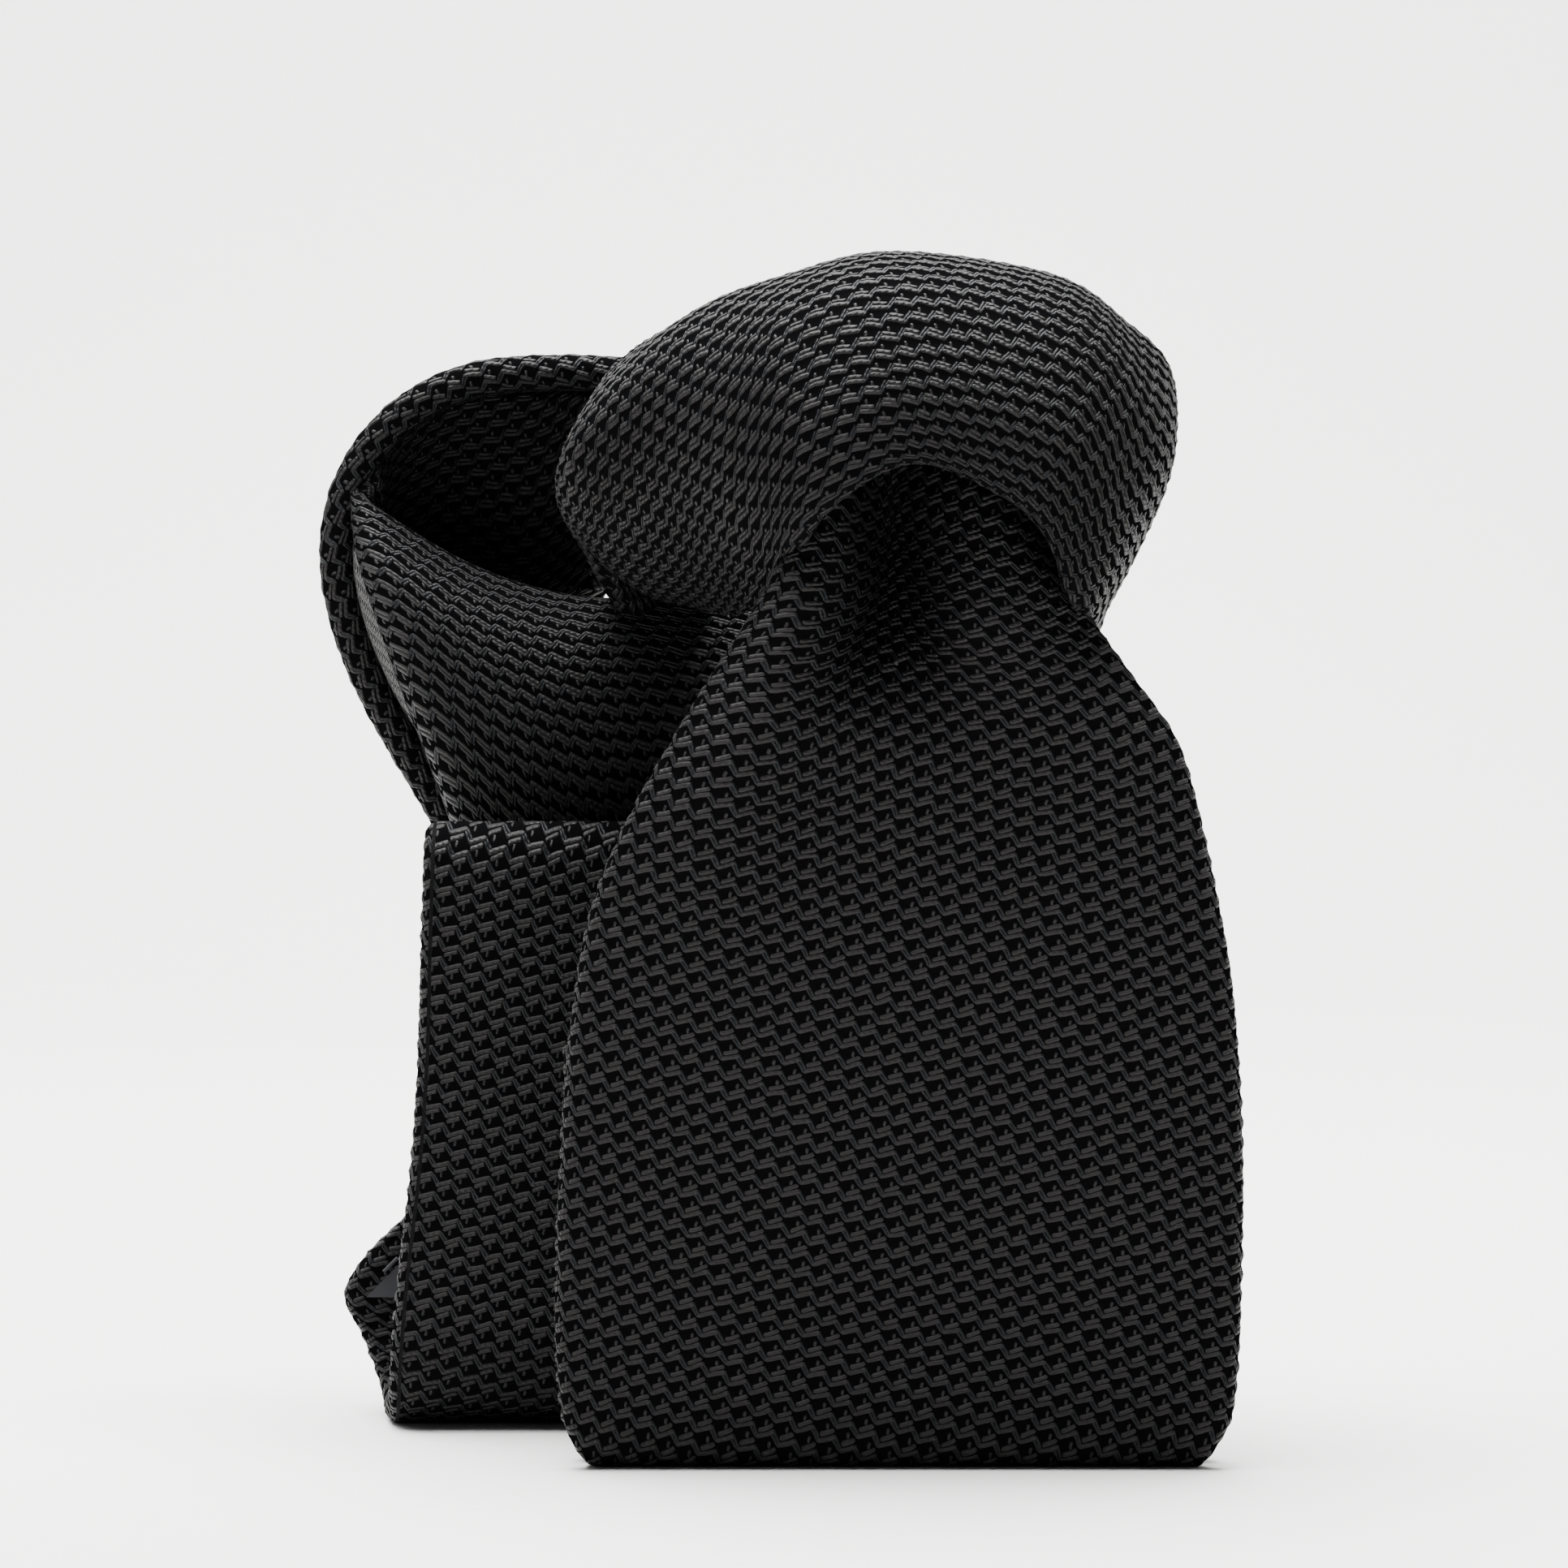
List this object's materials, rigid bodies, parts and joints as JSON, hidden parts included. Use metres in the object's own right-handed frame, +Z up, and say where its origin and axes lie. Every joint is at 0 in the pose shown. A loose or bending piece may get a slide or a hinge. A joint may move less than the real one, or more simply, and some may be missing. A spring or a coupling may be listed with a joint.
{
  "type": "necktie",
  "caption": "Black grenadine silk necktie rolled up and standing on its folded edges, wide blade in front, a loop at the left and an arch over the top.",
  "frame": {"origin": "bottom middle of the whole rolled tie's bounding box", "axes": "+Z up, +X to the right and -Y to the front as the wide blade faces the viewer"},
  "size_m": [0.1098, 0.0824, 0.1415],
  "materials": {
    "grenadine_silk": "open gauze weave with a soft sheen",
    "wool_interlining": "brushed",
    "tipping_silk": "smooth twill",
    "label": "blank woven satin",
    "sewing_thread": "twisted thread"
  },
  "bodies": {
    "roll": {"neck_band_shell": "grenadine_silk", "neck_band_interlining": "wool_interlining", "neck_slip_stitches": "sewing_thread", "gusset_shell": "grenadine_silk", "gusset_interlining": "wool_interlining", "gusset_seam_thread": "sewing_thread", "tail_blade_shell": "grenadine_silk", "tail_blade_interlining": "wool_interlining", "tail_seam_thread": "sewing_thread", "tail_slip_stitches": "sewing_thread", "tail_bar_tack": "sewing_thread", "tail_tipping": "tipping_silk", "tail_tipping_stitches": "sewing_thread"},
    "front_flap": {"front_blade_shell": "grenadine_silk", "front_blade_interlining": "wool_interlining", "front_tipping": "tipping_silk", "front_tipping_stitches": "sewing_thread", "keeper_loop": "grenadine_silk", "keeper_stitches": "sewing_thread", "brand_label": "label", "care_label": "label", "label_stitches": "sewing_thread", "front_bar_tack": "sewing_thread", "front_slip_stitches": "sewing_thread"}
  },
  "joints": [
    {"name": "front_flap_lift", "type": "hinge", "parent": "roll", "child": "front_flap", "pos_m": [0.0154, -0.02579, 0.10175], "axis": [-1, 0, 0], "range_deg": [0, 45]}
  ]
}
